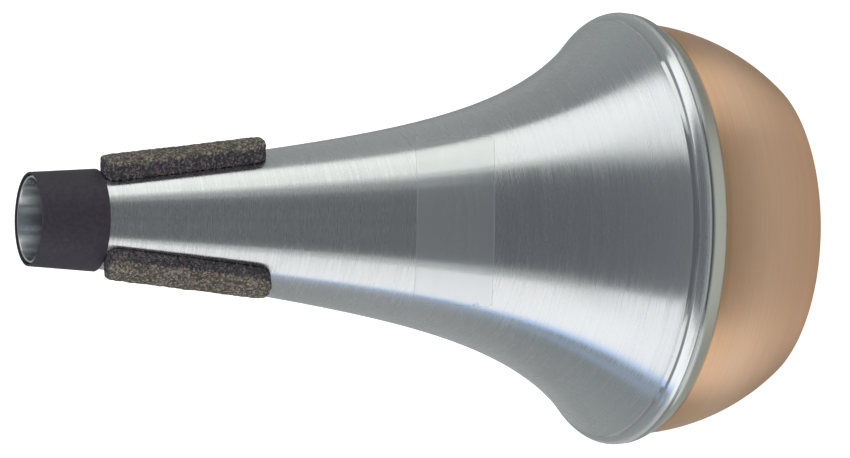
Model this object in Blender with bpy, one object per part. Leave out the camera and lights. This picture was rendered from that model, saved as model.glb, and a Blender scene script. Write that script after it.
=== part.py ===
"""Straight mute for a tenor trombone.

A spun aluminium horn runs from a narrow throat to a wide rim. A spun copper base closes it:
the lip of the copper follows the inside of the rim, and the aluminium skirt is rolled over it.
A rubber sleeve grips the throat, and three cork pads below it hold the mute in the bell.

The mute stands on its base. The origin is the centre of the flat base, +Z runs up the axis to
the throat, and one pad lies towards +Y.
"""

import math

import bmesh
import bpy

MM = 0.001

# Overall
LENGTH = 229.5 * MM  # base plane to the front of the sleeve
FACETS = 72  # flats round each turned piece, shared so that neighbours' flats line up

# Horn: throat, flare and rim. Radii are to the outside of the sheet.
MOUTH_RADIUS = 12.55 * MM
NECK_RADIUS = 13.7 * MM  # of the neck's cone, where the sleeve ends
NECK_ANGLE = math.radians(7.7)  # half angle of the neck's cone
RIM_RADIUS = 65.0 * MM  # the widest point of the mute
RIM_HEIGHT = 46.8 * MM  # of the widest point
SHOULDER_ANGLE = math.radians(48.0)  # of the flare, from the axis, where the rim begins
SHOULDER_BEND = 4.0 * MM
SKIRT_BEND = 7.0 * MM
SKIRT_LEAN = math.radians(25.0)  # of the skirt rolled in over the copper
SEAM_HEIGHT = 39.9 * MM  # of the skirt's edge
SHELL_WALL = 0.8 * MM
SKIRT_EDGE_WALL = 0.5 * MM  # rolling thins the skirt towards its edge

# Copper base
BASE_RADIUS = 46.5 * MM  # where the side would meet the base plane
BASE_BEND = 2.5 * MM
BOWL_ARC = 67.0 * MM  # radius of the side's arc, seen from the side
SEAM_STEP = 0.6 * MM  # the copper's side stands this far inside the skirt's edge
SEAM_GROOVE = 1.2 * MM  # height over which the copper draws in under that edge
LIP_ANGLE = math.radians(40.0)  # how far the lip follows the shoulder past the widest point
BASE_WALL = 0.8 * MM

# Rubber sleeve
SLEEVE_LENGTH = 19.7 * MM
SLEEVE_WALL = 0.6 * MM
SLEEVE_OVERHANG = 0.4 * MM  # past the mouth of the horn
SLEEVE_ROUND = 0.25 * MM

# Cork pads
PAD_COUNT = 3
PAD_LENGTH = 48.0 * MM
PAD_WIDTH = 9.0 * MM
PAD_HEIGHT = 5.1 * MM  # of the crown above the neck
PAD_CROWN = 0.8 * MM  # the long edges lie this far below the crown
PAD_CORNER = 3.0 * MM
PAD_CORNER_SHARE = 0.45  # of the width, the most that a corner takes on a narrow pad
PAD_ROUND = 0.6 * MM

# Clearances
SEAM_CLEARANCE = 0.3 * MM
SLEEVE_CLEARANCE = 0.3 * MM
PAD_CLEARANCE = 0.3 * MM  # the cement line under each pad
PAD_GAP = 0.4 * MM  # from each pad to the end of the sleeve

# Smoothness
FLARE_STEPS = 15
FLARE_CROWDING = 1.5  # the steps close up towards the shoulder, where the flare bends most
SHOULDER_STEPS = 4
SKIRT_STEPS = 2
BOWL_STEPS = 7
BEND_STEPS = 3
NOSE_STEPS = 2
CORNER_STEPS = 3
ROUND_STEPS = 2
PAD_ROWS = 6
TURNED_CREASE = math.radians(35.0)  # edges sharper than this stay sharp when shaded
PAD_CREASE = math.radians(50.0)
WELD = 0.001 * MM

MOUTH_HEIGHT = LENGTH - SLEEVE_OVERHANG
NECK_HEIGHT = LENGTH - SLEEVE_LENGTH
PAD_TOP = NECK_HEIGHT - PAD_GAP
SHOULDER_HEIGHT = RIM_HEIGHT + SHOULDER_BEND * math.sin(SHOULDER_ANGLE)
SHOULDER_RADIUS = RIM_RADIUS - SHOULDER_BEND * (1 - math.cos(SHOULDER_ANGLE))


def cone_radius(height):
    """Radius of the neck's straight cone, carried on down to the shoulder."""
    return NECK_RADIUS + (NECK_HEIGHT - height) * math.tan(NECK_ANGLE)


def horn_radius(height):
    """Outer radius of the horn: the cone, and a flare that grows exponentially towards the rim."""
    rise = SHOULDER_RADIUS - cone_radius(SHOULDER_HEIGHT)
    growth = rise / (math.tan(SHOULDER_ANGLE) - math.tan(NECK_ANGLE))
    return cone_radius(height) + rise * math.exp((SHOULDER_HEIGHT - height) / growth)


def horn_lean():
    """The neck's lean from the axis beside the pads, as one angle."""
    pad_end = PAD_TOP - PAD_LENGTH
    return math.atan2(horn_radius(pad_end) - horn_radius(PAD_TOP), PAD_LENGTH)


def arc(centre, radius, start, end, steps):
    """Points of an arc as (radius, height), angles measured up from the horizontal."""
    turns = (start + (end - start) * i / steps for i in range(steps + 1))
    return [(centre[0] + radius * math.cos(a), centre[1] + radius * math.sin(a)) for a in turns]


def nose(start, end):
    """The rounded edge of a sheet, on a half circle between the ends of its two faces."""
    middle = ((start[0] + end[0]) / 2, (start[1] + end[1]) / 2)
    across = (start[0] - middle[0], start[1] - middle[1])
    points = []
    for i in range(1, NOSE_STEPS):
        a = -math.pi * i / NOSE_STEPS
        points.append(
            (
                middle[0] + across[0] * math.cos(a) - across[1] * math.sin(a),
                middle[1] + across[0] * math.sin(a) + across[1] * math.cos(a),
            )
        )
    return points


def inset(points, depths):
    """The curve moved inwards by its depth at each point, where it runs down the outer side."""
    moved = []
    for i, (radius, height) in enumerate(points):
        before, after = points[max(i - 1, 0)], points[min(i + 1, len(points) - 1)]
        along = (after[0] - before[0], after[1] - before[1])
        length = math.hypot(*along)
        moved.append((radius + depths[i] * along[1] / length, height - depths[i] * along[0] / length))
    return moved


def rim_curve(top_angle):
    """Outer curve of the rim, from an angle up the shoulder down to the skirt's edge."""
    shoulder = arc((RIM_RADIUS - SHOULDER_BEND, RIM_HEIGHT), SHOULDER_BEND, top_angle, 0, SHOULDER_STEPS)
    skirt = arc((RIM_RADIUS - SKIRT_BEND, RIM_HEIGHT), SKIRT_BEND, 0, -SKIRT_LEAN, SKIRT_STEPS)
    radius, height = skirt[-1]
    edge = (radius - (height - SEAM_HEIGHT) * math.tan(SKIRT_LEAN), SEAM_HEIGHT)
    return shoulder + skirt[1:] + [edge]


def sheet_loop(outer, walls):
    """Closed section of a sheet with rounded edges, from its outer curve and its wall."""
    inner = inset(outer, walls)[::-1]
    return outer + nose(outer[-1], inner[0]) + inner + nose(inner[-1], outer[0])


def horn_section():
    """Section of the horn, with the seat of the sleeve, the flare and the rolled skirt."""
    top = MOUTH_HEIGHT - SHELL_WALL / 2
    seat = [(MOUTH_RADIUS, top), (horn_radius(NECK_HEIGHT), NECK_HEIGHT)]
    drop = NECK_HEIGHT - SHOULDER_HEIGHT
    shares = ((1 - i / FLARE_STEPS) ** FLARE_CROWDING for i in range(1, FLARE_STEPS))
    heights = [SHOULDER_HEIGHT + drop * share for share in shares]
    flare = [(horn_radius(height), height) for height in heights]
    outer = seat + flare + rim_curve(SHOULDER_ANGLE)
    walls = [SHELL_WALL] * (len(outer) - 1) + [SKIRT_EDGE_WALL]
    return sheet_loop(outer, walls)


def bowl_centre(top, foot):
    """Centre of the side's arc, which bulges outwards between two points."""
    middle = ((top[0] + foot[0]) / 2, (top[1] + foot[1]) / 2)
    half = math.hypot(top[0] - foot[0], top[1] - foot[1]) / 2
    back = math.sqrt(BOWL_ARC**2 - half**2) / (2 * half)
    return (middle[0] - (top[1] - foot[1]) * back, middle[1] + (top[0] - foot[0]) * back)


def base_section():
    """Section of the copper base from its lip down the outer side to the axis, and back inside."""
    rim = rim_curve(LIP_ANGLE)
    walls = [SHELL_WALL + SEAM_CLEARANCE] * (len(rim) - 1) + [SKIRT_EDGE_WALL + SEAM_CLEARANCE]
    lip = inset(rim, walls)
    top = (rim[-1][0] - SEAM_STEP, SEAM_HEIGHT - SEAM_GROOVE)
    centre = bowl_centre(top, (BASE_RADIUS, 0))

    # The bend is tangent to the flat base and to the inside of the side's arc.
    reach = BOWL_ARC - BASE_BEND
    bend_radius = centre[0] + math.sqrt(reach**2 - (centre[1] - BASE_BEND) ** 2)
    foot_angle = math.atan2(BASE_BEND - centre[1], bend_radius - centre[0])
    top_angle = math.atan2(top[1] - centre[1], top[0] - centre[0])
    side = arc(centre, BOWL_ARC, top_angle, foot_angle, BOWL_STEPS)
    bend = arc((bend_radius, BASE_BEND), BASE_BEND, foot_angle, -math.pi / 2, BEND_STEPS)

    outer = lip + side + bend[1:] + [(0, 0)]
    inner = inset(outer, [BASE_WALL] * len(outer))[::-1]
    return outer, inner + nose(inner[-1], outer[0])


def sleeve_section():
    """Section of the rubber sleeve, parallel to its seat on the horn, its outer edges rounded."""
    seat_lean = (horn_radius(NECK_HEIGHT) - MOUTH_RADIUS) / (MOUTH_HEIGHT - NECK_HEIGHT)
    bore_top = MOUTH_RADIUS + SLEEVE_CLEARANCE - seat_lean * SLEEVE_OVERHANG
    bore_end = horn_radius(NECK_HEIGHT) + SLEEVE_CLEARANCE
    top = bore_top + SLEEVE_WALL
    end = bore_end + SLEEVE_WALL
    return [
        (bore_top, LENGTH),
        (top - SLEEVE_ROUND, LENGTH),
        (top, LENGTH - SLEEVE_ROUND),
        (end, NECK_HEIGHT + SLEEVE_ROUND),
        (end - SLEEVE_ROUND, NECK_HEIGHT),
        (bore_end, NECK_HEIGHT),
    ]


def pad_columns():
    """Places across a pad as (across, half length there): the ends have rounded corners."""
    corner = min(PAD_CORNER, PAD_CORNER_SHARE * PAD_WIDTH)
    straight = PAD_WIDTH / 2 - corner
    columns = [(0.0, PAD_LENGTH / 2)]
    for i in range(CORNER_STEPS + 1):
        a = math.pi / 2 * i / CORNER_STEPS
        across = straight + corner * math.sin(a)
        half = PAD_LENGTH / 2 - corner * (1 - math.cos(a))
        columns = [(-across, half)] + columns + [(across, half)]
    return columns


def material(name, colour, roughness, metallic):
    made = bpy.data.materials.new(name)
    made.use_nodes = True
    shader = made.node_tree.nodes["Principled BSDF"]
    shader.inputs["Base Color"].default_value = (*colour, 1.0)
    shader.inputs["Roughness"].default_value = roughness
    shader.inputs["Metallic"].default_value = metallic
    made.diffuse_color = (*colour, 1.0)
    return made


def finished(name, shape, finish, sharp_angle):
    """A named mesh with its faces out, smooth but for its sharp edges, in one material."""
    bmesh.ops.recalc_face_normals(shape, faces=shape.faces)
    mesh = bpy.data.meshes.new(name)
    shape.to_mesh(mesh)
    shape.free()
    mesh.shade_smooth()
    mesh.set_sharp_from_angle(angle=sharp_angle)
    mesh.materials.append(finish)
    return mesh


def placed(name, mesh, carrier):
    """An object of a mesh, parented to what carries it."""
    piece = bpy.data.objects.new(name, mesh)
    bpy.context.collection.objects.link(piece)
    piece.parent = carrier
    return piece


def turned(name, section, finish):
    """A turned piece: its closed section, or one that starts and ends on the axis, spun once round it."""
    shape = bmesh.new()
    points = [shape.verts.new((radius, 0, height)) for radius, height in section]
    edges = [shape.edges.new(pair) for pair in zip(points, points[1:] + points[:1])]
    bmesh.ops.spin(
        shape,
        geom=points + edges,
        cent=(0, 0, 0),
        axis=(0, 0, 1),
        angle=math.tau,
        steps=FACETS,
        use_merge=True,
    )
    bmesh.ops.remove_doubles(shape, verts=shape.verts, dist=WELD)
    return finished(name, shape, finish, TURNED_CREASE)


def pad_mesh(finish):
    """One pad towards +Y: hollowed below to the neck, crowned above, with rounded upper edges."""
    shape = bmesh.new()
    lean = horn_lean()
    out, up = math.cos(lean), math.sin(lean)
    columns = pad_columns()
    lower, upper = [], []
    for row in range(PAD_ROWS + 1):
        along = 1 - 2 * row / PAD_ROWS
        under, over = [], []
        for across, half in columns:
            height = PAD_TOP - PAD_LENGTH / 2 + along * half
            foot = math.sqrt((horn_radius(height) + PAD_CLEARANCE) ** 2 - across**2)
            fall = PAD_CROWN * (2 * across / PAD_WIDTH) ** 2
            rise = horn_radius(height) + PAD_HEIGHT - fall - foot
            under.append(shape.verts.new((across, foot, height)))
            over.append(shape.verts.new((across, foot + rise * out, height + rise * up)))
        lower.append(under)
        upper.append(over)

    for grid in (lower, upper):
        for near, far in zip(grid, grid[1:]):
            for i in range(len(columns) - 1):
                shape.faces.new((near[i], near[i + 1], far[i + 1], far[i]))

    def border(grid):
        """The grid's outer points in order round it."""
        right = [row[-1] for row in grid[1:-1]]
        left = [row[0] for row in grid[-2:0:-1]]
        return grid[0] + right + grid[-1][::-1] + left

    feet, edges = border(lower), border(upper)
    for i, foot in enumerate(feet):
        shape.faces.new((feet[i - 1], foot, edges[i], edges[i - 1]))
    bmesh.ops.recalc_face_normals(shape, faces=shape.faces)
    rounded = [shape.edges.get((edges[i - 1], edges[i])) for i in range(len(edges))]
    bmesh.ops.bevel(shape, geom=rounded, offset=PAD_ROUND, segments=ROUND_STEPS, profile=0.5, affect="EDGES")
    return finished("cork_pad", shape, finish, PAD_CREASE)


for leftover in list(bpy.data.objects):
    bpy.data.objects.remove(leftover)

aluminium = material("spun_aluminium", (0.55, 0.58, 0.58), 0.28, 1.0)
copper = material("spun_copper", (0.55, 0.34, 0.22), 0.32, 1.0)
rubber = material("black_rubber", (0.045, 0.04, 0.048), 0.6, 0.0)
cork = material("dark_cork", (0.12, 0.09, 0.065), 0.85, 0.0)

mute = bpy.data.objects.new("mute", None)
bpy.context.collection.objects.link(mute)

placed("body_shell", turned("body_shell", horn_section(), aluminium), mute)

base_outer, base_inner = base_section()
placed("base_cap", turned("base_cap", base_outer + base_inner, copper), mute)

placed("throat_sleeve", turned("throat_sleeve", sleeve_section(), rubber), mute)

pad = pad_mesh(cork)
for number in range(PAD_COUNT):
    placed(f"cork_pad_{number + 1}", pad, mute).rotation_euler.z = math.tau * number / PAD_COUNT
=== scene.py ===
"""Straight mute for a tenor trombone, dressed for a picture.

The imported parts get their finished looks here, in the order in which the mute is put together.
"""

import math

import bpy
from mathutils import Matrix, Vector


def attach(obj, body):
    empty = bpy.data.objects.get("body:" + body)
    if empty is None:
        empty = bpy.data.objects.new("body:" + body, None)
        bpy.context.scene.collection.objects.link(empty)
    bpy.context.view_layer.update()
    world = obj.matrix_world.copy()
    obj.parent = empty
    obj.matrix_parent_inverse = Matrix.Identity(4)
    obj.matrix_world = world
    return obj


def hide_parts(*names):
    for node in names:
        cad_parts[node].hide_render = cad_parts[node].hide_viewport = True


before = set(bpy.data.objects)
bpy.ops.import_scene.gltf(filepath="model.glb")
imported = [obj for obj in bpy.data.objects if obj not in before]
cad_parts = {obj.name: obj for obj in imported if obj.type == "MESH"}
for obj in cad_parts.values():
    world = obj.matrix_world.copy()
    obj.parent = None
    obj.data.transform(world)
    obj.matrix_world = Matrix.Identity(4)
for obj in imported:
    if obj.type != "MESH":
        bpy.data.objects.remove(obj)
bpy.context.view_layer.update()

# Camera: a long lens looks down at the mute from above the throat, and is rolled a quarter turn,
# so that the mute's axis lies across the picture with the base on the right.
CAMERA_PLACE = (-0.17111, -1.07354, 0.56849)
CAMERA_RIGHT = Vector((-0.04561, -0.38807, -0.92050))
CAMERA_UP = Vector((0.98852, -0.15038, 0.01441))
LENS = 169.41
SENSOR = 36.0
FURTHEST_SEEN = 50.0

camera = bpy.data.objects.new("camera", bpy.data.cameras.new("camera"))
bpy.context.scene.collection.objects.link(camera)
camera_back = CAMERA_RIGHT.cross(CAMERA_UP)
camera_turn = Matrix((CAMERA_RIGHT, CAMERA_UP, camera_back)).transposed().to_4x4()
camera.matrix_world = Matrix.Translation(CAMERA_PLACE) @ camera_turn
camera.data.lens = LENS
camera.data.sensor_width = SENSOR
camera.data.clip_end = FURTHEST_SEEN
bpy.context.scene.camera = camera

# Horn: one sheet of aluminium spun over a former, from the narrow mouth through the flare to the rim.
# Its skirt is rolled in over the lip of the copper base. The flare is brushed on the lathe,
# and the rim is left smoother, with a bead, a ring pressed in above it and a line turned in below it.
MM = 0.001
LENGTH = 229.5 * MM
SLEEVE_OVERHANG = 0.4 * MM
SLEEVE_LENGTH = 19.7 * MM
MOUTH_HEIGHT = LENGTH - SLEEVE_OVERHANG
NECK_HEIGHT = LENGTH - SLEEVE_LENGTH
MOUTH_RADIUS = 12.55 * MM
NECK_RADIUS = 13.7 * MM
NECK_SLOPE = math.tan(math.radians(7.7))
RIM_RADIUS = 65.0 * MM
RIM_HEIGHT = 46.15 * MM
SHOULDER_ANGLE = math.radians(48.0)
SHOULDER_BEND = 4.0 * MM
SHOULDER_HEIGHT = RIM_HEIGHT + SHOULDER_BEND * math.sin(SHOULDER_ANGLE)
SHOULDER_RADIUS = RIM_RADIUS - SHOULDER_BEND * (1 - math.cos(SHOULDER_ANGLE))
BEAD_RISE = 0.12 * MM  # the middle of the bead's arc lies this far above the rim's height
BEAD_ANGLE = math.radians(43.0)  # the bead's arc starts this far up
RING_END = 49.25 * MM
LEDGE_END = 49.03 * MM  # the ring's lower side is a short ledge down to here
RING_DEPTH = 0.6 * MM
CREST_RADIUS = 64.87 * MM  # the skirt starts here, at the lower lip of the turned line
CREST_HEIGHT = 45.0 * MM
LINE_DEPTH = 0.2 * MM
SKIRT_BEND = 4.0 * MM
SKIRT_LEAN = math.radians(28.5)
SEAM_HEIGHT = 39.4 * MM
SHELL_WALL = 0.8 * MM
SKIRT_WALLS = [0.7 * MM, 0.6 * MM, 0.5 * MM]  # the sheet thins towards the skirt's edge
BURNISHED_TOP = 50.4 * MM  # a fine ridge, where the brushed flare meets the smoother rim
RIDGE = 0.09 * MM
RIDGE_HALF_WIDTH = 0.3 * MM

ROUND = 256  # points round each turned piece
FLARE_RINGS = 70
FLARE_CROWDING = 1.3  # above 1 the rings lie closer together towards the rim
RING_HEIGHTS = [49.8 * MM, 49.5 * MM]
LEDGE_STEPS = 5
BEAD_STEPS = 16
LINE_STEPS = 10
CREASE = math.radians(35.0)  # sharper edges than this aren't shaded smooth
MERGE = 0.005 * MM


def cone_radius(height):
    """Radius of the neck's straight cone, carried on down to the shoulder."""
    return NECK_RADIUS + (NECK_HEIGHT - height) * NECK_SLOPE


def horn_radius(height):
    """Outer radius of the horn: the cone, and a flare that grows exponentially towards the rim."""
    rise = SHOULDER_RADIUS - cone_radius(SHOULDER_HEIGHT)
    growth = rise / (math.tan(SHOULDER_ANGLE) - NECK_SLOPE)
    return cone_radius(height) + rise * math.exp((SHOULDER_HEIGHT - height) / growth)


def arc(centre, radius, start, end, steps):
    """Points of an arc as (radius, height), angles measured up from the horizontal."""
    turns = (start + (end - start) * i / steps for i in range(steps + 1))
    return [(centre[0] + radius * math.cos(a), centre[1] + radius * math.sin(a)) for a in turns]


def inset(points, depths):
    """The curve moved inwards by its depth at each point, where it runs down the outer side."""
    moved = []
    for i, (radius, height) in enumerate(points):
        before, after = points[max(i - 1, 0)], points[min(i + 1, len(points) - 1)]
        along = (after[0] - before[0], after[1] - before[1])
        length = math.hypot(*along)
        moved.append((radius + depths[i] * along[1] / length, height - depths[i] * along[0] / length))
    return moved


def nose(start, end, steps=4):
    """The rounded edge of a sheet, on a half circle between the ends of its two faces."""
    middle = ((start[0] + end[0]) / 2, (start[1] + end[1]) / 2)
    across = (start[0] - middle[0], start[1] - middle[1])
    turns = (-math.pi * i / steps for i in range(1, steps))
    return [
        (
            middle[0] + across[0] * math.cos(a) - across[1] * math.sin(a),
            middle[1] + across[0] * math.sin(a) + across[1] * math.cos(a),
        )
        for a in turns
    ]


def rim_curve(top_angle, bead_steps=12, skirt_steps=6):
    """Outer curve of the rim, from an angle up the bead down to the skirt's edge."""
    bead_centre = (RIM_RADIUS - SHOULDER_BEND, RIM_HEIGHT + BEAD_RISE)
    bead = arc(bead_centre, SHOULDER_BEND, top_angle, 0, bead_steps)
    skirt = arc((CREST_RADIUS - SKIRT_BEND, CREST_HEIGHT), SKIRT_BEND, 0, -SKIRT_LEAN, skirt_steps)
    drop = ((CREST_RADIUS - RIM_RADIUS) / LINE_STEPS, (CREST_HEIGHT - RIM_HEIGHT) / LINE_STEPS)
    line = [(RIM_RADIUS + drop[0] * i, RIM_HEIGHT + drop[1] * i) for i in range(1, LINE_STEPS)]
    radius, height = skirt[-1]
    edge = (radius - (height - SEAM_HEIGHT) * math.tan(SKIRT_LEAN), SEAM_HEIGHT)
    middle = ((radius + edge[0]) / 2, (height + edge[1]) / 2)
    return bead + line + skirt + [middle, edge]


def line_depth(height):
    """Depth of the line that is turned into the rim."""
    share = (RIM_HEIGHT - height) / (RIM_HEIGHT - CREST_HEIGHT)
    return LINE_DEPTH * math.sin(math.pi * share) ** 2 if 0 < share < 1 else 0.0


def ring_depth(height):
    """Depth of the ring that is pressed in between the flare and the bead."""
    if height > RING_END:
        return RING_DEPTH * max(BURNISHED_TOP - height, 0.0) / (BURNISHED_TOP - RING_END)
    share = max(height - LEDGE_END, 0.0) / (RING_END - LEDGE_END)
    return RING_DEPTH * share * share * (3 - 2 * share)


def turned(name, loop):
    """A closed piece of revolution: a circle at the loop's first point, drawn on ring by ring to its start."""
    bpy.ops.object.select_all(action="DESELECT")
    radius, height = loop[0]
    bpy.ops.mesh.primitive_circle_add(vertices=ROUND, radius=radius, location=(0, 0, height))
    piece = bpy.context.object
    piece.name = piece.data.name = name
    bpy.ops.object.transform_apply(location=True)
    bpy.ops.object.mode_set(mode="EDIT")
    bpy.ops.mesh.select_all(action="SELECT")
    for near, far in zip(loop, loop[1:] + loop[:1]):
        bpy.ops.mesh.extrude_edges_move(TRANSFORM_OT_translate={"value": (0, 0, far[1] - near[1])})
        share = far[0] / near[0]
        bpy.ops.transform.resize(value=(share, share, 1), center_override=(0, 0, 0))
    bpy.ops.mesh.select_all(action="SELECT")
    bpy.ops.mesh.remove_doubles(threshold=MERGE)
    bpy.ops.mesh.normals_make_consistent(inside=False)
    bpy.ops.object.mode_set(mode="OBJECT")
    bpy.ops.object.shade_smooth_by_angle(angle=CREASE)
    return piece


def sheet_loop(outer, walls):
    """Closed section of a sheet with rounded edges, from its outer curve and its wall."""
    inner = inset(outer, walls)[::-1]
    return outer + nose(outer[-1], inner[0]) + inner + nose(inner[-1], outer[0])


seat = [(MOUTH_RADIUS, MOUTH_HEIGHT - SHELL_WALL / 2), (horn_radius(NECK_HEIGHT), NECK_HEIGHT)]
flare_drop = NECK_HEIGHT - SHOULDER_HEIGHT
heights = [
    SHOULDER_HEIGHT + flare_drop * (1 - i / FLARE_RINGS) ** FLARE_CROWDING for i in range(1, FLARE_RINGS)
]
heights = [height for height in heights if height > BURNISHED_TOP + 2 * RIDGE_HALF_WIDTH]
heights += [BURNISHED_TOP + share * RIDGE_HALF_WIDTH for share in (1, 0, -1)]
heights += RING_HEIGHTS
heights += [RING_END + (LEDGE_END - RING_END) * step / LEDGE_STEPS for step in range(LEDGE_STEPS)]
heights.sort(reverse=True)
flare = [(horn_radius(height) + (RIDGE if height == BURNISHED_TOP else 0), height) for height in heights]
rim = rim_curve(BEAD_ANGLE, BEAD_STEPS)
# The sheet's inner side follows a smooth curve, without the ridge, the ring and the line.
smooth_side = seat + [point for point in flare if point[1] > BURNISHED_TOP] + rim
horn_walls = [SHELL_WALL] * (len(smooth_side) - len(SKIRT_WALLS)) + SKIRT_WALLS
inner_side = sheet_loop(smooth_side, horn_walls)[len(smooth_side) :]
outer_side = [
    (radius - line_depth(height) - ring_depth(height), height) for radius, height in seat + flare + rim
]
horn = turned("horn", outer_side + inner_side)


def add_node(tree, kind, **properties):
    """A shader node with its properties set."""
    node = tree.nodes.new(kind)
    for key, value in properties.items():
        setattr(node, key, value)
    return node


def math_node(tree, operation, first, second=None):
    """A Math node whose inputs are sockets or numbers."""
    node = add_node(tree, "ShaderNodeMath", operation=operation)
    for socket, value in zip(node.inputs, (first, second)):
        if value is None:
            continue
        if isinstance(value, (int, float)):
            socket.default_value = value
        else:
            tree.links.new(value, socket)
    return node.outputs[0]


def plus(tree, first, second):
    return math_node(tree, "ADD", first, second)


def minus(tree, first, second):
    return math_node(tree, "SUBTRACT", first, second)


def times(tree, first, second):
    return math_node(tree, "MULTIPLY", first, second)


def away_from_axis(tree, first, second):
    """Distance from the axis, from the places along two directions across it."""
    return math_node(tree, "SQRT", plus(tree, times(tree, first, first), times(tree, second, second)))


def spun_marks_group():
    """Fine lines round the axis: noise that changes fast along the sheet and slowly round it."""
    group = bpy.data.node_groups.new("spun_marks", "ShaderNodeTree")
    group.interface.new_socket("Lines per metre", in_out="INPUT", socket_type="NodeSocketFloat")
    group.interface.new_socket("Turns", in_out="INPUT", socket_type="NodeSocketFloat")
    group.interface.new_socket("Lines", in_out="OUTPUT", socket_type="NodeSocketFloat")
    given = add_node(group, "NodeGroupInput")
    out = add_node(group, "NodeGroupOutput")
    place = add_node(group, "ShaderNodeTexCoord")
    apart = add_node(group, "ShaderNodeSeparateXYZ")
    group.links.new(place.outputs["Object"], apart.inputs[0])
    x, y, z = apart.outputs
    radius = away_from_axis(group, x, y)
    per_metre, turns = given.outputs["Lines per metre"], given.outputs["Turns"]
    joined = add_node(group, "ShaderNodeCombineXYZ")
    group.links.new(times(group, radius, per_metre), joined.inputs[0])
    group.links.new(times(group, z, per_metre), joined.inputs[1])
    group.links.new(times(group, math_node(group, "DIVIDE", x, radius), turns), joined.inputs[2])
    noise = add_node(group, "ShaderNodeTexNoise", noise_dimensions="4D")
    noise.inputs["Scale"].default_value = 1.0
    noise.inputs["Detail"].default_value = 3.0
    noise.inputs["Roughness"].default_value = 0.6
    group.links.new(joined.outputs[0], noise.inputs["Vector"])
    group.links.new(times(group, math_node(group, "DIVIDE", y, radius), turns), noise.inputs["W"])
    group.links.new(noise.outputs["Fac"], out.inputs["Lines"])
    return group


spun_marks = spun_marks_group()


def marks(tree, per_metre, turns):
    """The spun lines at one fineness."""
    node = add_node(tree, "ShaderNodeGroup", node_tree=spun_marks)
    node.inputs["Lines per metre"].default_value = per_metre
    node.inputs["Turns"].default_value = turns
    return node.outputs["Lines"]


def ramp(tree, value, stops):
    """A Color Ramp over a value, from (place, colour) stops."""
    node = add_node(tree, "ShaderNodeValToRGB")
    tree.links.new(value, node.inputs[0])
    while len(node.color_ramp.elements) < len(stops):
        node.color_ramp.elements.new(0.5)
    for element, (place, colour) in zip(node.color_ramp.elements, stops):
        element.position = place
        element.color = (*colour, 1.0)
    return node.outputs[0]


def new_material(name, roughness, metallic):
    """A material with its node tree and its Principled shader."""
    material = bpy.data.materials.new(name)
    material.use_nodes = True
    shader = material.node_tree.nodes["Principled BSDF"]
    shader.inputs["Roughness"].default_value = roughness
    shader.inputs["Metallic"].default_value = metallic
    return material, material.node_tree, shader


def place_along(tree, direction):
    """How far the surface point lies along a direction, from the foot of the mute's axis."""
    place = add_node(tree, "ShaderNodeTexCoord")
    dot = add_node(tree, "ShaderNodeVectorMath", operation="DOT_PRODUCT")
    tree.links.new(place.outputs["Object"], dot.inputs[0])
    dot.inputs[1].default_value = direction
    return dot.outputs["Value"]


def rise_between(tree, value, start, end):
    """Rises smoothly from 0 to 1 between two values."""
    rise = add_node(tree, "ShaderNodeMapRange", interpolation_type="SMOOTHSTEP")
    tree.links.new(value, rise.inputs["Value"])
    rise.inputs["From Min"].default_value = start
    rise.inputs["From Max"].default_value = end
    return rise.outputs[0]


def inside(tree, value, start, end):
    """1 between two values, and 0 outside them, with a soft edge of 0.1 mm to either side."""
    offset = math_node(tree, "ABSOLUTE", minus(tree, value, (start + end) / 2))
    half = (end - start) / 2
    return rise_between(tree, offset, half + 0.1 * MM, half - 0.1 * MM)


def blended(tree, share, first, second, blend_type="MIX"):
    """Two colours, sockets or fixed, blended by a share."""
    node = add_node(tree, "ShaderNodeMix", data_type="RGBA", blend_type=blend_type)
    for socket, value in zip((node.inputs[0], node.inputs[6], node.inputs[7]), (share, first, second)):
        if isinstance(value, tuple):
            socket.default_value = (*value, 1.0)
        elif isinstance(value, float):
            socket.default_value = value
        else:
            tree.links.new(value, socket)
    return node.outputs[2]


UP = (0, 0, 1)
FINE_LINES, COARSE_LINES = (2200.0, 1.6), (450.0, 1.0)  # lines per metre, and changes round the piece
FINE_SHARE, COARSE_SHARE = 0.75, 0.25
FADED_LINES = 0.25  # the share of the lines that smoother metal keeps
SMOOTHEST = 0.08
DARK_LINE, LIGHT_LINE = 0.25, 0.75
LINE_HEIGHT = 0.05 * MM
PITCH_SHARE = 0.4
ANISOTROPY, ROUND_THE_AXIS = 0.9, 0.25


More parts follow.
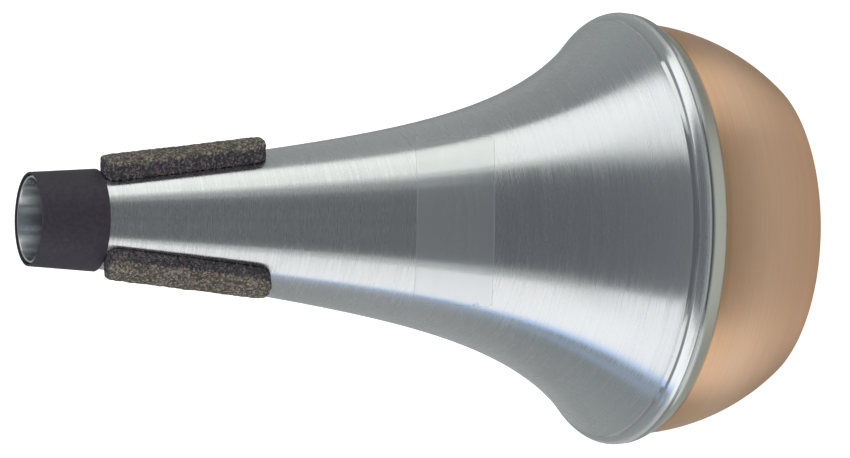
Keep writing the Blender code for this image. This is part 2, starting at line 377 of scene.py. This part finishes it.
def spun_metal(
    name,
    dark,
    light,
    roughness,
    scatter,
    bump_strength,
    smooth_roughness=None,
    brushed=None,
    pitch=None,
    painted_light_and_shade=None,
):
    """Spun metal: fine and coarse lines vary its colour and roughness, and raise a slight bump.

    Where the brushed share falls to 0 the lines fade and the metal is smoother. A pitch adds turned
    ridges, and painted light and shade make the colour lighter or darker from place to place.
    """
    material, tree, shader = new_material(name, roughness, 1.0)
    fine = times(tree, marks(tree, *FINE_LINES), FINE_SHARE)
    coarse = times(tree, marks(tree, *COARSE_LINES), COARSE_SHARE)
    centred = minus(tree, plus(tree, fine, coarse), 0.5)
    middle = roughness
    if brushed:
        share = brushed(tree)
        centred = times(tree, centred, math_node(tree, "MAXIMUM", share, FADED_LINES))
        middle = plus(tree, times(tree, share, roughness - smooth_roughness), smooth_roughness)
    spread = plus(tree, times(tree, centred, scatter), middle)
    tree.links.new(math_node(tree, "MAXIMUM", spread, SMOOTHEST), shader.inputs["Roughness"])
    lines = plus(tree, centred, 0.5)
    colour = ramp(tree, lines, [(DARK_LINE, dark), (LIGHT_LINE, light)])
    # Painted light and shade: the colour is multiplied by a pattern that lightens or darkens it from place to
    # place.
    if painted_light_and_shade:
        colour = blended(tree, 1.0, colour, painted_light_and_shade(tree), "MULTIPLY")
    tree.links.new(colour, shader.inputs["Base Color"])
    shader.inputs["Anisotropic"].default_value = ANISOTROPY
    shader.inputs["Anisotropic Rotation"].default_value = ROUND_THE_AXIS
    if pitch:
        ridges = math_node(tree, "SINE", times(tree, place_along(tree, UP), 2 * math.pi / pitch))
        lines = plus(tree, lines, times(tree, ridges, PITCH_SHARE))
    bump = add_node(tree, "ShaderNodeBump")
    bump.inputs["Strength"].default_value = bump_strength
    bump.inputs["Distance"].default_value = LINE_HEIGHT
    tree.links.new(lines, bump.inputs["Height"])
    tree.links.new(bump.outputs[0], shader.inputs["Normal"])
    return material


STUDIO_TURN = math.radians(-9.0)  # the camera and the studio stand this far round the mute from -Y
TOWARDS_CAMERA = (math.sin(STUDIO_TURN), -math.cos(STUDIO_TURN), 0)
TO_THE_SIDE = (math.cos(STUDIO_TURN), math.sin(STUDIO_TURN), 0)
FILM_TOP = 121.8 * MM  # the edge towards the mouth, on the side of the camera
FILM_WIDTH = 22.0 * MM
FILM_ROUND_FROM, FILM_ROUND_TO = -26.0 * MM, 30.0 * MM
FILM_DIP, FILM_DIP_GROWTH = 8.5 * MM, 0.17  # how a straight cut edge drops as it bends round the flare
FILLED_LINES = 0.3  # the share of the brushing that the film's cement fills
BRUSHED_BLUR = 0.2 * MM
BEAD_MARGIN = 0.3 * MM


def horn_brushing(tree):
    """The brushed share of the horn: 1 on the flare and the bead, less under the film, 0 elsewhere."""
    height = place_along(tree, UP)
    front, sideways = place_along(tree, TOWARDS_CAMERA), place_along(tree, TO_THE_SIDE)
    radius = away_from_axis(tree, front, sideways)
    bend = minus(tree, 1.0, math_node(tree, "DIVIDE", front, radius))
    drop = minus(tree, FILM_TOP, plus(tree, height, times(tree, bend, FILM_DIP)))
    stretch = plus(tree, times(tree, bend, FILM_DIP_GROWTH), 1.0)
    down = math_node(tree, "DIVIDE", drop, stretch)
    around = times(tree, math_node(tree, "ARCTAN2", sideways, front), radius)
    filmed = times(
        tree,
        inside(tree, down, 0, FILM_WIDTH),
        inside(tree, around, FILM_ROUND_FROM, FILM_ROUND_TO),
    )
    flare_share = rise_between(tree, height, BURNISHED_TOP - BRUSHED_BLUR, BURNISHED_TOP + BRUSHED_BLUR)
    bead_share = inside(tree, height, RIM_HEIGHT + BEAD_MARGIN, RING_END - BEAD_MARGIN)
    brushed = math_node(tree, "MAXIMUM", flare_share, bead_share)
    return times(tree, brushed, minus(tree, 1.0, times(tree, filmed, FILLED_LINES)))


# Painted light and shade on the rim: a painted highlight on the bead, and painted shade on the skirt, in the
# turned line and on the ring.
PAINTED_BANDS_LOW, PAINTED_BANDS_HIGH = 42.0 * MM, 52.0 * MM
HORN_PAINTED_LIGHT_AND_SHADE = (  # from and to a height in millimetres
    (42.0, 44.8, (0.73, 0.76, 0.68)),  # painted shade on the skirt
    (45.2, 46.0, (0.62, 0.63, 0.64)),  # painted shade in the turned line
    (46.5, 47.2, (1.25, 1.25, 1.25)),  # painted highlight on the bead's lower side
    (47.8, 48.8, (1.1, 1.1, 1.1)),  # painted highlight on its upper side
    (49.1, 50.25, (0.93, 0.93, 0.93)),  # painted shade on the ring
    (50.5, 52.0, (1.0, 1.0, 1.0)),  # flare
)


def horn_painted_light_and_shade(tree):
    """Painted light and shade over the rim: the horn's colour is made lighter or darker band by band."""
    height = add_node(tree, "ShaderNodeMapRange")
    tree.links.new(place_along(tree, UP), height.inputs["Value"])
    height.inputs["From Min"].default_value = PAINTED_BANDS_LOW
    height.inputs["From Max"].default_value = PAINTED_BANDS_HIGH
    stops = []
    for low, high, colour in HORN_PAINTED_LIGHT_AND_SHADE:
        stops += [((edge * MM - PAINTED_BANDS_LOW) / (PAINTED_BANDS_HIGH - PAINTED_BANDS_LOW), colour) for edge in (low, high)]
    return ramp(tree, height.outputs[0], stops)


aluminium = spun_metal(
    "spun_aluminium",
    dark=(0.65, 0.665, 0.675),
    light=(0.7, 0.715, 0.725),
    roughness=0.25,
    scatter=0.4,
    bump_strength=0.16,
    smooth_roughness=0.13,
    brushed=horn_brushing,
    painted_light_and_shade=horn_painted_light_and_shade,
)
bore = spun_metal(
    "bored_aluminium",
    dark=(0.72, 0.74, 0.75),
    light=(0.78, 0.8, 0.81),
    roughness=0.2,
    scatter=0.05,
    bump_strength=0.05,
    pitch=0.85 * MM,
)
horn.data.materials.append(aluminium)
horn.data.materials.append(bore)
for face in horn.data.polygons:
    towards_axis = face.center.x * face.normal.x + face.center.y * face.normal.y < 0
    face.material_index = int(towards_axis)
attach(horn, "root")
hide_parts("body_shell")

# Film: a clear, bare self-adhesive label on the side of the flare, cut square with rounded corners.
# Its cut edges are drawn more opaque, as a painted highlight, and a little air is caught under its two ends.
FILM_GAP = 0.03 * MM
FILM_THICKNESS = 0.06 * MM
FILM_CORNER = 1.5 * MM
FILM_ROUNDS = 4  # a point's turn and height depend on each other, and settle in a few rounds
FILM_ALPHA, EDGE_HIGHLIGHT_ALPHA, AIR_ALPHA = 0.04, 0.08, 0.12
bpy.ops.object.select_all(action="DESELECT")
bpy.ops.mesh.primitive_grid_add(x_subdivisions=22, y_subdivisions=84, size=1)
film = bpy.context.object
film.name = film.data.name = "clear_film"
half_width, half_round = FILM_WIDTH / 2, (FILM_ROUND_TO - FILM_ROUND_FROM) / 2
for corner in film.data.vertices:
    down, around = corner.co.x * FILM_WIDTH, corner.co.y * 2 * half_round
    over = Vector((abs(down) - half_width + FILM_CORNER, abs(around) - half_round + FILM_CORNER))
    if min(over) > 0 and over.length > FILM_CORNER:
        over *= FILM_CORNER / over.length
        down = math.copysign(half_width - FILM_CORNER + over.x, down)
        around = math.copysign(half_round - FILM_CORNER + over.y, around)
    down, around = down + half_width, around + (FILM_ROUND_FROM + FILM_ROUND_TO) / 2
    height = FILM_TOP - down
    for _ in range(FILM_ROUNDS):
        turn = around / horn_radius(height)
        height = FILM_TOP - down - (FILM_DIP + FILM_DIP_GROWTH * down) * (1 - math.cos(turn))
    reach = horn_radius(height) + FILM_GAP
    corner.co = (reach * math.sin(STUDIO_TURN + turn), -reach * math.cos(STUDIO_TURN + turn), height)
bpy.ops.object.mode_set(mode="EDIT")
bpy.ops.mesh.select_all(action="SELECT")
bpy.ops.mesh.normals_make_consistent(inside=False)
bpy.ops.object.mode_set(mode="OBJECT")
sheet = film.modifiers.new("thickness", "SOLIDIFY")
sheet.thickness = FILM_THICKNESS
sheet.offset = 1.0
bpy.ops.object.modifier_apply(modifier="thickness")
bpy.ops.object.shade_smooth_by_angle(angle=CREASE)

clear, clear_tree, clear_shader = new_material("clear_film", 0.12, 0.0)
clear_shader.inputs["Base Color"].default_value = (0.62, 0.66, 0.68, 1.0)
film_place = add_node(clear_tree, "ShaderNodeUVMap")
film_apart = add_node(clear_tree, "ShaderNodeSeparateXYZ")
clear_tree.links.new(film_place.outputs[0], film_apart.inputs[0])
off_middle_down = math_node(clear_tree, "ABSOLUTE", minus(clear_tree, film_apart.outputs[0], 0.5))
off_middle_round = math_node(clear_tree, "ABSOLUTE", minus(clear_tree, film_apart.outputs[1], 0.5))
# Painted highlight: a band along the cut edges is drawn more opaque.
painted_edge_highlight = math_node(
    clear_tree,
    "MAXIMUM",
    rise_between(clear_tree, off_middle_down, 0.485, 0.497),
    rise_between(clear_tree, off_middle_round, 0.494, 0.498),
)
air = add_node(clear_tree, "ShaderNodeTexNoise")
air.inputs["Scale"].default_value = 420.0
air_place = add_node(clear_tree, "ShaderNodeTexCoord")
clear_tree.links.new(air_place.outputs["Object"], air.inputs["Vector"])
bubbles = times(
    clear_tree,
    rise_between(clear_tree, air.outputs["Fac"], 0.56, 0.64),
    rise_between(clear_tree, off_middle_round, 0.46, 0.49),
)
seen_film = math_node(
    clear_tree, "MAXIMUM", times(clear_tree, painted_edge_highlight, EDGE_HIGHLIGHT_ALPHA), times(clear_tree, bubbles, AIR_ALPHA)
)
clear_tree.links.new(plus(clear_tree, seen_film, FILM_ALPHA), clear_shader.inputs["Alpha"])
film.data.materials.append(clear)
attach(film, "root")

# Copper base: a bowl spun from one sheet of copper, flat underneath, on which the mute stands.
# Its lip lies inside the aluminium rim, which is crimped over it.
BASE_RADIUS = 46.5 * MM
BASE_BEND = 2.5 * MM
BOWL_ARC = 67.0 * MM
BOWL_STEPS, BEND_STEPS = 36, 8
SEAM_STEP = 0.45 * MM
SEAM_GROOVE = 1.2 * MM
LIP_ANGLE = math.radians(40.0)
BASE_WALL = 0.8 * MM
SEAM_CLEARANCE = 0.3 * MM
CENTRE_HOLE = 0.2 * MM  # closed again when its ring is merged
CENTRE_MERGE = 0.45 * MM


def bowl_centre(top, foot):
    """Centre of the side's arc, which bulges outwards between two points."""
    middle = ((top[0] + foot[0]) / 2, (top[1] + foot[1]) / 2)
    half = math.hypot(top[0] - foot[0], top[1] - foot[1]) / 2
    back = math.sqrt(BOWL_ARC**2 - half**2) / (2 * half)
    return (middle[0] - (top[1] - foot[1]) * back, middle[1] + (top[0] - foot[0]) * back)


lip_rim = rim_curve(LIP_ANGLE)
rim_walls = [SHELL_WALL] * (len(lip_rim) - len(SKIRT_WALLS)) + SKIRT_WALLS
lip = inset(lip_rim, [wall + SEAM_CLEARANCE for wall in rim_walls])
bowl_top = (lip_rim[-1][0] - SEAM_STEP, SEAM_HEIGHT - SEAM_GROOVE)
centre = bowl_centre(bowl_top, (BASE_RADIUS, 0))
bend_radius = centre[0] + math.sqrt((BOWL_ARC - BASE_BEND) ** 2 - (centre[1] - BASE_BEND) ** 2)
foot_angle = math.atan2(BASE_BEND - centre[1], bend_radius - centre[0])
top_angle = math.atan2(bowl_top[1] - centre[1], bowl_top[0] - centre[0])
bowl_side = arc(centre, BOWL_ARC, top_angle, foot_angle, BOWL_STEPS)
bowl_bend = arc((bend_radius, BASE_BEND), BASE_BEND, foot_angle, -math.pi / 2, BEND_STEPS)
floor_rings = [(bend_radius * share, 0) for share in (0.75, 0.5, 0.25)] + [(CENTRE_HOLE, 0)]
base_outer = lip + bowl_side + bowl_bend[1:] + floor_rings
base_inner = inset(base_outer, [BASE_WALL] * len(base_outer))[::-1]
base = turned("copper_base", base_outer + base_inner + nose(base_inner[-1], base_outer[0]))
bpy.ops.object.mode_set(mode="EDIT")
bpy.ops.mesh.select_all(action="DESELECT")
bpy.ops.object.mode_set(mode="OBJECT")
for corner in base.data.vertices:
    corner.select = math.hypot(corner.co.x, corner.co.y) < 2 * CENTRE_HOLE
bpy.ops.object.mode_set(mode="EDIT")
bpy.ops.mesh.remove_doubles(threshold=CENTRE_MERGE)
bpy.ops.mesh.select_all(action="SELECT")
bpy.ops.mesh.normals_make_consistent(inside=False)
bpy.ops.object.mode_set(mode="OBJECT")

# Painted shade on the copper: darker at the foot and towards the seam.
COPPER_PAINTED_SHADE = [  # from the foot up to the seam
    (0.25, (0.87, 0.86, 0.85)),
    (0.6, (1.0, 1.0, 1.0)),
    (0.7, (1.0, 1.0, 1.0)),
    (0.95, (0.95, 0.9, 0.83)),
]


def copper_painted_shade(tree):
    """Painted shade: the copper is darker towards its foot, and darker and warmer towards the seam."""
    height = math_node(tree, "DIVIDE", place_along(tree, UP), SEAM_HEIGHT)
    return ramp(tree, height, COPPER_PAINTED_SHADE)


copper = spun_metal(
    "spun_copper",
    dark=(0.805, 0.54, 0.365),
    light=(0.925, 0.655, 0.45),
    roughness=0.47,
    scatter=0.3,
    bump_strength=0.15,
    painted_light_and_shade=copper_painted_shade,
)
base.data.materials.append(copper)
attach(base, "root")
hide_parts("base_cap")

# Throat sleeve: a short tube of black rubber with slightly rounded ends.
# It is stretched over the neck and stands a little proud of the mouth.
SLEEVE_WALL = 0.6 * MM
SLEEVE_ROUND = 0.25 * MM
ROUND_STEPS = 5
SLEEVE_CLEARANCE = 0.3 * MM
RUBBER_DARK, RUBBER_LIGHT = (0.03, 0.026, 0.036), (0.047, 0.04, 0.053)
seat_lean = (horn_radius(NECK_HEIGHT) - MOUTH_RADIUS) / (MOUTH_HEIGHT - NECK_HEIGHT)
bore_top = MOUTH_RADIUS + SLEEVE_CLEARANCE - seat_lean * SLEEVE_OVERHANG
bore_end = horn_radius(NECK_HEIGHT) + SLEEVE_CLEARANCE
top_middle = (bore_top + SLEEVE_WALL - SLEEVE_ROUND, LENGTH - SLEEVE_ROUND)
end_middle = (bore_end + SLEEVE_WALL - SLEEVE_ROUND, NECK_HEIGHT + SLEEVE_ROUND)
top_round = arc(top_middle, SLEEVE_ROUND, math.pi / 2, 0, ROUND_STEPS)
end_round = arc(end_middle, SLEEVE_ROUND, 0, -math.pi / 2, ROUND_STEPS)
sleeve = turned("rubber_sleeve", [(bore_top, LENGTH)] + top_round + end_round + [(bore_end, NECK_HEIGHT)])
rubber, rubber_tree, rubber_shader = new_material("black_rubber", 0.62, 0.0)
rubber_grain = add_node(rubber_tree, "ShaderNodeTexNoise")
rubber_grain.inputs["Scale"].default_value = 900.0
rubber_place = add_node(rubber_tree, "ShaderNodeTexCoord")
rubber_tree.links.new(rubber_place.outputs["Object"], rubber_grain.inputs["Vector"])
rubber_colour = ramp(rubber_tree, rubber_grain.outputs["Fac"], [(0.3, RUBBER_DARK), (0.75, RUBBER_LIGHT)])
rubber_tree.links.new(rubber_colour, rubber_shader.inputs["Base Color"])
sleeve.data.materials.append(rubber)
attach(sleeve, "root")
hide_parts("throat_sleeve")

# Cork pads: three strips of dark, rubber-bonded cork cemented to the neck, which wedge in the bell.
# Faces that don't look away from the axis are darker and bluer, as painted shade, and the granules make every
# edge uneven.
CORK_VOXEL = 0.3 * MM
CEMENT = 0.6 * MM  # the pad's underside lies this near to the neck
CEMENT_PRESSED = 0.3 * MM  # and is pressed down on it by this much
CORK_MERGE = 0.01 * MM
GRANULE_SIZE, GRANULE_DEPTH = 1.1 * MM, 0.28 * MM
LUMP_SIZE, LUMP_DEPTH = 2.6 * MM, 0.22 * MM
GRAINS_PER_METRE, FLAKES_PER_METRE = 1900.0, 950.0
CORK_GREYS = [
    (0.0, (0.048, 0.044, 0.04)),
    (0.45, (0.105, 0.095, 0.082)),
    (0.75, (0.175, 0.155, 0.13)),
    (0.93, (0.32, 0.275, 0.22)),
]
FLAKE_BROWN = (0.25, 0.18, 0.13)
SIDE_SHADE_TONE = (0.56, 0.56, 0.74)
granule_shape = bpy.data.textures.new("cork_granules", "VORONOI")
granule_shape.noise_scale = GRANULE_SIZE
lump_shape = bpy.data.textures.new("cork_lumps", "CLOUDS")
lump_shape.noise_scale = LUMP_SIZE

cork, cork_tree, cork_shader = new_material("dark_cork", 0.9, 0.0)
cork_place = add_node(cork_tree, "ShaderNodeTexCoord")


def granules(scale):
    """Cork granules: a random grey for each, and the distance from its middle."""
    cells = add_node(cork_tree, "ShaderNodeTexVoronoi")
    cells.inputs["Scale"].default_value = scale
    cork_tree.links.new(cork_place.outputs["Object"], cells.inputs["Vector"])
    grey = add_node(cork_tree, "ShaderNodeSeparateColor")
    cork_tree.links.new(cells.outputs["Color"], grey.inputs[0])
    return grey.outputs[0], cells.outputs["Distance"]


grains, grain_distance = granules(GRAINS_PER_METRE)
flakes, _ = granules(FLAKES_PER_METRE)
few_flakes = rise_between(cork_tree, flakes, 0.955, 0.97)
cork_colour = blended(cork_tree, few_flakes, ramp(cork_tree, grains, CORK_GREYS), FLAKE_BROWN)
outwards_part = add_node(cork_tree, "ShaderNodeVectorMath", operation="MULTIPLY")
cork_tree.links.new(cork_place.outputs["Object"], outwards_part.inputs[0])
outwards_part.inputs[1].default_value = (1, 1, 0)
outwards = add_node(cork_tree, "ShaderNodeVectorMath", operation="NORMALIZE")
cork_tree.links.new(outwards_part.outputs[0], outwards.inputs[0])
facing = add_node(cork_tree, "ShaderNodeVectorMath", operation="DOT_PRODUCT")
cork_tree.links.new(cork_place.outputs["Normal"], facing.inputs[0])
cork_tree.links.new(outwards.outputs[0], facing.inputs[1])
# Painted shade: faces that don't look away from the axis get a darker, bluer colour.
outward_faces = rise_between(cork_tree, facing.outputs["Value"], 0.35, 0.8)
painted_shade_sides = blended(cork_tree, 1.0, cork_colour, SIDE_SHADE_TONE, "MULTIPLY")
cork_tree.links.new(blended(cork_tree, outward_faces, painted_shade_sides, cork_colour), cork_shader.inputs["Base Color"])
cork_bump = add_node(cork_tree, "ShaderNodeBump")
cork_bump.inputs["Strength"].default_value = 0.8
cork_bump.inputs["Distance"].default_value = 0.25 * MM
cork_tree.links.new(grain_distance, cork_bump.inputs["Height"])
cork_tree.links.new(cork_bump.outputs[0], cork_shader.inputs["Normal"])

for number in (1, 2, 3):
    node_name = f"cork_pad_{number}"
    pad = bpy.data.objects.new(f"cork_strip_{number}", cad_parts[node_name].data.copy())
    bpy.context.scene.collection.objects.link(pad)
    bpy.ops.object.select_all(action="DESELECT")
    pad.select_set(True)
    bpy.context.view_layer.objects.active = pad
    bpy.ops.object.mode_set(mode="EDIT")
    bpy.ops.mesh.select_all(action="SELECT")
    bpy.ops.mesh.remove_doubles(threshold=CORK_MERGE)
    bpy.ops.object.mode_set(mode="OBJECT")
    for corner in pad.data.vertices:
        radius = math.hypot(corner.co.x, corner.co.y)
        if radius < horn_radius(corner.co.z) + CEMENT:
            share = (radius - CEMENT_PRESSED) / radius
            corner.co.x *= share
            corner.co.y *= share
    grid = pad.modifiers.new("grid", "REMESH")
    grid.mode = "VOXEL"
    grid.voxel_size = CORK_VOXEL
    for name, texture, depth in (
        ("grains", granule_shape, GRANULE_DEPTH),
        ("lumps", lump_shape, LUMP_DEPTH),
    ):
        uneven = pad.modifiers.new(name, "DISPLACE")
        uneven.texture = texture
        uneven.texture_coords = "LOCAL"
        uneven.strength = depth
        uneven.mid_level = 0.5
    for name in ("grid", "grains", "lumps"):
        bpy.ops.object.modifier_apply(modifier=name)
    bpy.ops.object.shade_smooth()
    pad.data.materials.clear()
    pad.data.materials.append(cork)
    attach(pad, "root")
    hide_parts(node_name)

# Table: a wide white table under the mute. It shows white to the camera. The metal sees it with painted light
# that the table gives off: brighter close in front of the mute and close to the mute on the sides of the two
# softboxes, and darker further out on those sides. Its colour is darker on the upper side, as painted shade.
TABLE_SIZE = 12.0
TABLE_DROP = 0.1 * MM  # below the base, so that the two faces never meet
TABLE_COLOUR, PAINTED_SHADE_COLOUR = (0.62, 0.62, 0.6), (0.42, 0.42, 0.41)
PAINTED_SHADE_SPAN = 300 * MM
TABLE_PAINTED_SHADE = [(0.08, TABLE_COLOUR), (0.28, PAINTED_SHADE_COLOUR), (0.5, PAINTED_SHADE_COLOUR), (0.8, TABLE_COLOUR)]
WHITE_TO_CAMERA = 0.95  # what the table gives off beyond the light that falls on it
PAINTED_GLOW_TO_METAL = 0.02
NEAR_PAINTED_LIGHT = 0.185
NEAR_PLACE = 95 * MM  # the middle of the patch of painted light in front of the mute
NEAR_FROM, NEAR_TO = 85 * MM, 40 * MM
PAINTED_LIGHT_BLUR = 15 * MM
UPPER_BEARING, LOWER_BEARING = 80.0, -66.0  # of the softboxes, from the camera's side of the mute
PAINTED_LIGHT_SECTORS = (  # bearing, half width for each metre out, from where, to where, and how much painted light
    (67.0, 0.45, 78 * MM, 125 * MM, 0.47),
    (UPPER_BEARING, 0.3, 250 * MM, 400 * MM, -0.25),
    (-62.0, 0.4, 75 * MM, 120 * MM, 0.6),
    (LOWER_BEARING, 0.3, 250 * MM, 400 * MM, -0.4),
)


def across_and_out(bearing):
    """Directions across and away from the mute at a bearing from the camera's side of it."""
    around = STUDIO_TURN + math.radians(bearing)
    return Vector((math.cos(around), math.sin(around), 0)), Vector((math.sin(around), -math.cos(around), 0))


bpy.ops.object.select_all(action="DESELECT")
bpy.ops.mesh.primitive_plane_add(size=TABLE_SIZE, location=(0, 0, -TABLE_DROP))
table_top = bpy.context.object
table_top.name = "table_top"
white, white_tree, white_shader = new_material("white_table", 0.8, 0.0)
white_shader.inputs["Emission Color"].default_value = (1.0, 1.0, 1.0, 1.0)
rays = add_node(white_tree, "ShaderNodeLightPath")
seen = plus(white_tree, rays.outputs["Is Camera Ray"], rays.outputs["Is Transmission Ray"])
from_near = add_node(white_tree, "ShaderNodeVectorMath", operation="DISTANCE")
table_place = add_node(white_tree, "ShaderNodeTexCoord")
white_tree.links.new(table_place.outputs["Object"], from_near.inputs[0])
from_near.inputs[1].default_value = [value * NEAR_PLACE for value in TOWARDS_CAMERA]
# Painted light: the table gives off more to the metal close in front of the mute and in sectors on the
# softboxes' sides, and less further out there.
near = rise_between(white_tree, from_near.outputs["Value"], NEAR_FROM, NEAR_TO)
painted_glow = plus(white_tree, times(white_tree, near, NEAR_PAINTED_LIGHT), PAINTED_GLOW_TO_METAL)
for bearing, half_width, lit_from, lit_to, painted_light in PAINTED_LIGHT_SECTORS:
    across, outwards = across_and_out(bearing)
    beside = math_node(white_tree, "ABSOLUTE", place_along(white_tree, across))
    out = place_along(white_tree, outwards)
    within = minus(white_tree, times(white_tree, out, half_width), beside)
    painted_pool = times(
        white_tree,
        rise_between(white_tree, within, -PAINTED_LIGHT_BLUR, PAINTED_LIGHT_BLUR),
        rise_between(white_tree, out, lit_from, lit_to),
    )
    painted_glow = plus(white_tree, painted_glow, times(white_tree, painted_pool, painted_light))
# Painted shade: the table's colour is darker on the upper side.
aside = math_node(white_tree, "DIVIDE", place_along(white_tree, TO_THE_SIDE), PAINTED_SHADE_SPAN)
white_tree.links.new(ramp(white_tree, aside, TABLE_PAINTED_SHADE), white_shader.inputs["Base Color"])
painted_reflection = times(white_tree, rays.outputs["Is Glossy Ray"], painted_glow)
given_off = plus(white_tree, times(white_tree, seen, WHITE_TO_CAMERA), painted_reflection)
white_tree.links.new(given_off, white_shader.inputs["Emission Strength"])
table_top.data.materials.append(white)

# Card: a grey card on the table in front of the mute, which only the metal shows, paints a darker
# reflection on the rim's front. It is darker near the mute and far from it.
CARD_START = RIM_RADIUS + 50 * MM
CARD_SIZE = (1.4, 1.2)  # across and away from the mute
CARD_LIFT = 0.3 * MM
CARD_PAINTED_REFLECTION = [
    (0.1, (0.42, 0.42, 0.4)),
    (0.13, (0.27, 0.275, 0.28)),
    (0.16, (0.32, 0.325, 0.33)),
    (0.24, (0.32, 0.325, 0.33)),
    (0.36, (0.06, 0.065, 0.068)),
]
bpy.ops.mesh.primitive_plane_add(size=1, location=(0, -CARD_START - CARD_SIZE[1] / 2, CARD_LIFT))
card = bpy.context.object
card.name = "painted_reflection_card"
card.scale = (*CARD_SIZE, 1)
bpy.ops.object.transform_apply()
card.rotation_euler.z = STUDIO_TURN
# The card is a painted reflection: only the metal sees it, and it casts no shadow.
card.visible_camera = card.visible_shadow = card.visible_diffuse = False
card_finish, card_tree, card_shader = new_material("painted_reflection_card", 0.9, 0.0)
away = math_node(card_tree, "DIVIDE", place_along(card_tree, (0, -1, 0)), CARD_SIZE[1])
card_tree.links.new(ramp(card_tree, away, CARD_PAINTED_REFLECTION), card_shader.inputs["Base Color"])
card.data.materials.append(card_finish)

# Softboxes: one to either side of the camera leans over the mute, with softer and greener light at its
# foot or edge, and its upper part is rolled a little. A blue window shows beside the lower one.
PANEL_DISTANCE = 0.9  # from the mute's axis to the foot of a panel
PANEL_LEAN = math.radians(30.0)
SOFTBOX_WHITE = (1.0, 0.985, 0.985)
FOOT_WHITE = (0.96, 1.0, 0.9)
EDGE_GREEN = (0.9, 1.0, 0.87)
WINDOW_BLUE = (0.34, 0.58, 1.0)
PANELS = (  # name, bearing, middle of the foot, width and height, roll, colour and brightness
    ("upper_softbox_foot", UPPER_BEARING, (-0.035, 0.0), (0.51, 0.2), 0.0, FOOT_WHITE, 1.03),
    ("upper_softbox", UPPER_BEARING, (-0.035, 0.2), (0.51, 0.4), 0.0, SOFTBOX_WHITE, 1.0),
    ("upper_softbox_head", UPPER_BEARING, (-0.01, 0.6), (0.46, 0.45), -12.0, SOFTBOX_WHITE, 0.99),
    ("upper_softbox_edge", UPPER_BEARING, (-0.35, 0.0), (0.12, 0.85), -6.0, EDGE_GREEN, 0.45),
    ("lower_softbox", LOWER_BEARING, (0.006, 0.0), (0.512, 0.46), 0.0, SOFTBOX_WHITE, 1.03),
    ("lower_softbox_head", LOWER_BEARING, (0.006, 0.46), (0.512, 0.55), 22.0, SOFTBOX_WHITE, 1.03),
    ("lower_softbox_edge", LOWER_BEARING, (0.33, 0.0), (0.12, 0.46), 0.0, EDGE_GREEN, 0.32),
    ("window", LOWER_BEARING, (-0.283, 0.0), (0.066, 0.46), 0.0, WINDOW_BLUE, 1.15),
    ("window_head", LOWER_BEARING, (-0.283, 0.46), (0.066, 0.5), 22.0, WINDOW_BLUE, 1.15),
    ("window_edge", LOWER_BEARING, (-0.37, 0.0), (0.1, 0.9), 12.0, WINDOW_BLUE, 0.3),
)


def lit_panel(name, bearing, foot, size, roll, colour, brightness):
    """A lit panel at a bearing from the camera's side of the mute, which leans over the mute.

    The middle of its foot is given beside that bearing and up the lean, and its brightness is what
    the metal mirrors.
    """
    light = bpy.data.objects.new(name, bpy.data.lights.new(name, "AREA"))
    bpy.context.scene.collection.objects.link(light)
    light.data.shape = "RECTANGLE"
    light.data.size, light.data.size_y = size
    light.data.energy = brightness * math.pi * size[0] * size[1]
    light.data.color = colour
    across, outwards = across_and_out(bearing)
    upright = Vector((0, 0, math.cos(PANEL_LEAN))) - outwards * math.sin(PANEL_LEAN)
    leaning = Matrix((across, upright, across.cross(upright))).transposed()
    turn = leaning @ Matrix.Rotation(math.radians(roll), 3, "Z")
    foot_place = outwards * PANEL_DISTANCE + across * foot[0] + upright * foot[1]
    middle = foot_place + turn @ Vector((0, size[1] / 2, 0))
    light.matrix_world = Matrix.Translation(middle) @ turn.to_4x4()


for panel in PANELS:
    lit_panel(*panel)

# Front light: a broad, soft light over the camera for the pieces that don't mirror.
# The metal doesn't show it.
FRONT_SIZE = 2.5
FRONT_POWER = 45.0
FRONT_OUT, FRONT_UP = 2.0, 2.2
front_light = bpy.data.objects.new("front_light", bpy.data.lights.new("front_light", "AREA"))
bpy.context.scene.collection.objects.link(front_light)
front_light.data.shape = "SQUARE"
front_light.data.size = FRONT_SIZE
front_light.data.energy = FRONT_POWER
front_place = Vector(TOWARDS_CAMERA) * FRONT_OUT + Vector((0, 0, FRONT_UP))
facing_mute = front_place.to_track_quat("Z", "Y").to_matrix().to_4x4()
front_light.matrix_world = Matrix.Translation(front_place) @ facing_mute
front_light.visible_glossy = False

# Room: dim behind the camera and paler behind the mute, as the metal shows it.
# To the camera it is white, like the table.
ROOM_FRONT = (0.14, 0.15, 0.163)
ROOM_BACK = (0.40, 0.425, 0.425)
ROOM_FALL = 1.25
world = bpy.data.worlds.new("room")
bpy.context.scene.world = world
world.use_nodes = True
room = world.node_tree
direction = add_node(room, "ShaderNodeTexCoord")
backwards = add_node(room, "ShaderNodeVectorMath", operation="DOT_PRODUCT")
room.links.new(direction.outputs["Generated"], backwards.inputs[0])
backwards.inputs[1].default_value = [-value for value in TOWARDS_CAMERA]
depth = add_node(room, "ShaderNodeMapRange")
room.links.new(backwards.outputs["Value"], depth.inputs["Value"])
depth.inputs["From Min"].default_value = -1.0
depth.inputs["From Max"].default_value = 1.0
walls = blended(room, math_node(room, "POWER", depth.outputs[0], ROOM_FALL), ROOM_FRONT, ROOM_BACK)
room_rays = add_node(room, "ShaderNodeLightPath")
shown_white = plus(room, room_rays.outputs["Is Camera Ray"], room_rays.outputs["Is Transmission Ray"])
shown = blended(room, shown_white, walls, (1.0, 1.0, 1.0))
room.links.new(shown, room.nodes["Background"].inputs["Color"])
bpy.context.scene.view_settings.view_transform = "Standard"
